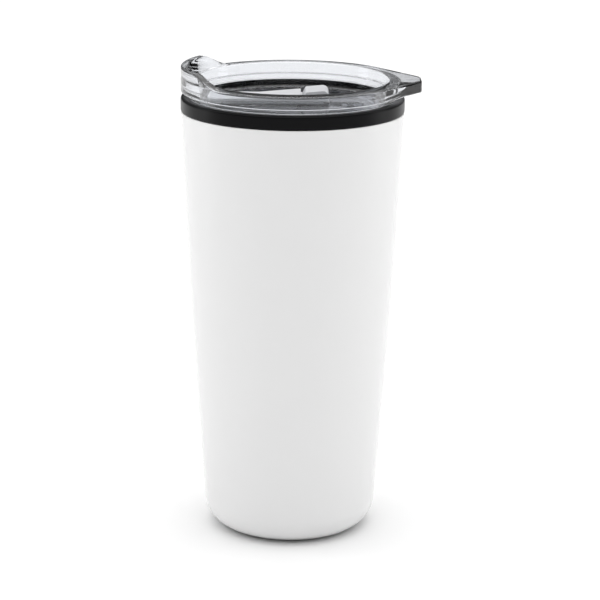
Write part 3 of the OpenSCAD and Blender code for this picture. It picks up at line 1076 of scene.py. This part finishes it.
class TUMBLER_OT_stage(bpy.types.Operator):
    """Sets up the pale floor, the soft lights and the camera"""

    bl_idname = "tumbler.stage"
    bl_label = "Stage"

    def execute(self, context):
        scene = context.scene
        sizes = scene.tumbler_stage
        floor = new_primitive("floor", bpy.ops.mesh.primitive_plane_add, size=12)
        below_foot = -0.05 * MM
        bpy.ops.transform.translate(value=(0, 0, below_foot))
        close_edit()
        pale = finish("Pale Floor", palette().floor, drift=0.01, roughness=0.6, spread=0.05,
                      grain_scale=300.0, grain_depth=0.02, Specular_IOR_Level=0.2)
        floor.data.materials.append(pale)

        scene.world = self.soft_sky(sizes)
        scene.view_settings.view_transform = "Standard"
        for name, side in (("Left Softbox", -1), ("Right Softbox", 1)):
            self.add_softbox(name, side, sizes)

        tilt = Euler((math.pi / 2 - sizes.camera_tilt, 0, -sizes.camera_yaw)).to_matrix()
        roll = Matrix.Rotation(sizes.camera_roll, 3, "Z")
        bpy.ops.object.camera_add(
            location=(0, -sizes.camera_distance, sizes.camera_height), rotation=(tilt @ roll).to_euler()
        )
        camera = context.active_object
        camera.name = "Product Camera"
        camera.data.lens = sizes.lens
        camera.data.sensor_width = 36.0
        scene.camera = camera
        return {"FINISHED"}

    def soft_sky(self, sizes):
        """A sky that is bright overhead and dim at the horizon, but plain white where it is seen directly."""
        world = bpy.data.worlds.new("Soft Sky")
        world.use_nodes = True
        tree = world.node_tree
        direction = tree.nodes.new("ShaderNodeTexCoord").outputs["Generated"]
        split = tree.nodes.new("ShaderNodeSeparateXYZ")
        tree.links.new(direction, split.inputs[0])
        height = math_node(tree, "POWER", math_node(tree, "MAXIMUM", split.outputs["Z"], 0.0), sizes.falloff)
        overhead = math_node(tree, "MULTIPLY", height, sizes.zenith)
        depth = tree.nodes.new("ShaderNodeMapRange")
        tree.links.new(split.outputs["Y"], depth.inputs["Value"])
        for label, value in (("From Min", -0.9), ("From Max", 0.3), ("To Min", sizes.front)):
            depth.inputs[label].default_value = value
        strength = math_node(tree, "MULTIPLY", overhead, depth.outputs["Result"])
        glow = tree.nodes["Background"]
        glow.inputs["Color"].default_value = (1.0, 1.0, 1.0, 1.0)
        tree.links.new(strength, glow.inputs["Strength"])
        plain = tree.nodes.new("ShaderNodeBackground")
        plain.inputs["Color"].default_value = (1.0, 1.0, 1.0, 1.0)
        mix = tree.nodes.new("ShaderNodeMixShader")
        path = tree.nodes.new("ShaderNodeLightPath").outputs
        seen = math_node(tree, "MAXIMUM", path["Is Camera Ray"], path["Is Transmission Ray"])
        tree.links.new(seen, mix.inputs["Fac"])
        tree.links.new(glow.outputs[0], mix.inputs[1])
        tree.links.new(plain.outputs[0], mix.inputs[2])
        tree.links.new(mix.outputs[0], tree.nodes["World Output"].inputs["Surface"])
        return world

    def add_softbox(self, name, side, sizes):
        """Adds one upright softbox beside the cup, unseen by the camera."""
        place = (side * 0.9, 0.15, 0.35)
        turn = (math.radians(90), 0, side * math.radians(80))
        bpy.ops.object.light_add(type="AREA", location=place, rotation=turn)
        light = bpy.context.active_object
        light.name = name
        light.data.shape = "RECTANGLE"
        light.data.size = 0.3
        light.data.size_y = 1.0
        light.data.energy = sizes.sides
        light.visible_camera = False


PIECES = (
    TUMBLER_OT_outer_shell,
    TUMBLER_OT_base_cap,
    TUMBLER_OT_liner,
    TUMBLER_OT_collar,
    TUMBLER_OT_rim_seal,
    TUMBLER_OT_lid_gasket,
    TUMBLER_OT_lid_body,
    TUMBLER_OT_slide,
    TUMBLER_OT_slide_seal,
    TUMBLER_OT_slide_clip,
    TUMBLER_OT_stage,
)


class TUMBLER_PT_panel(bpy.types.Panel):
    """Lists the tumbler's pieces and the stage"""

    bl_idname = "TUMBLER_PT_panel"
    bl_label = "Insulated Tumbler"
    bl_space_type = "VIEW_3D"
    bl_region_type = "UI"
    bl_category = "Tumbler"

    def draw(self, context):
        for piece in PIECES:
            self.layout.operator(piece.bl_idname)


GROUPS = {
    "tumbler_cup": CupSizes,
    "tumbler_lid": LidSizes,
    "tumbler_slide": SlideSizes,
    "tumbler_finishes": Finishes,
    "tumbler_stage": StageSizes,
}


def register():
    """Registers the sizes, the operators and the panel."""
    for name, group in GROUPS.items():
        bpy.utils.register_class(group)
        setattr(bpy.types.Scene, name, PointerProperty(type=group))
    for piece in PIECES:
        bpy.utils.register_class(piece)
    bpy.utils.register_class(TUMBLER_PT_panel)


def unregister():
    """Removes what register added."""
    bpy.utils.unregister_class(TUMBLER_PT_panel)
    for piece in reversed(PIECES):
        bpy.utils.unregister_class(piece)
    for name, group in GROUPS.items():
        delattr(bpy.types.Scene, name)
        bpy.utils.unregister_class(group)


def main():
    """Makes every piece and the stage."""
    register()
    for piece in PIECES:
        area, action = piece.bl_idname.split(".")
        getattr(getattr(bpy.ops, area), action)()


if __name__ == "__main__":
    main()
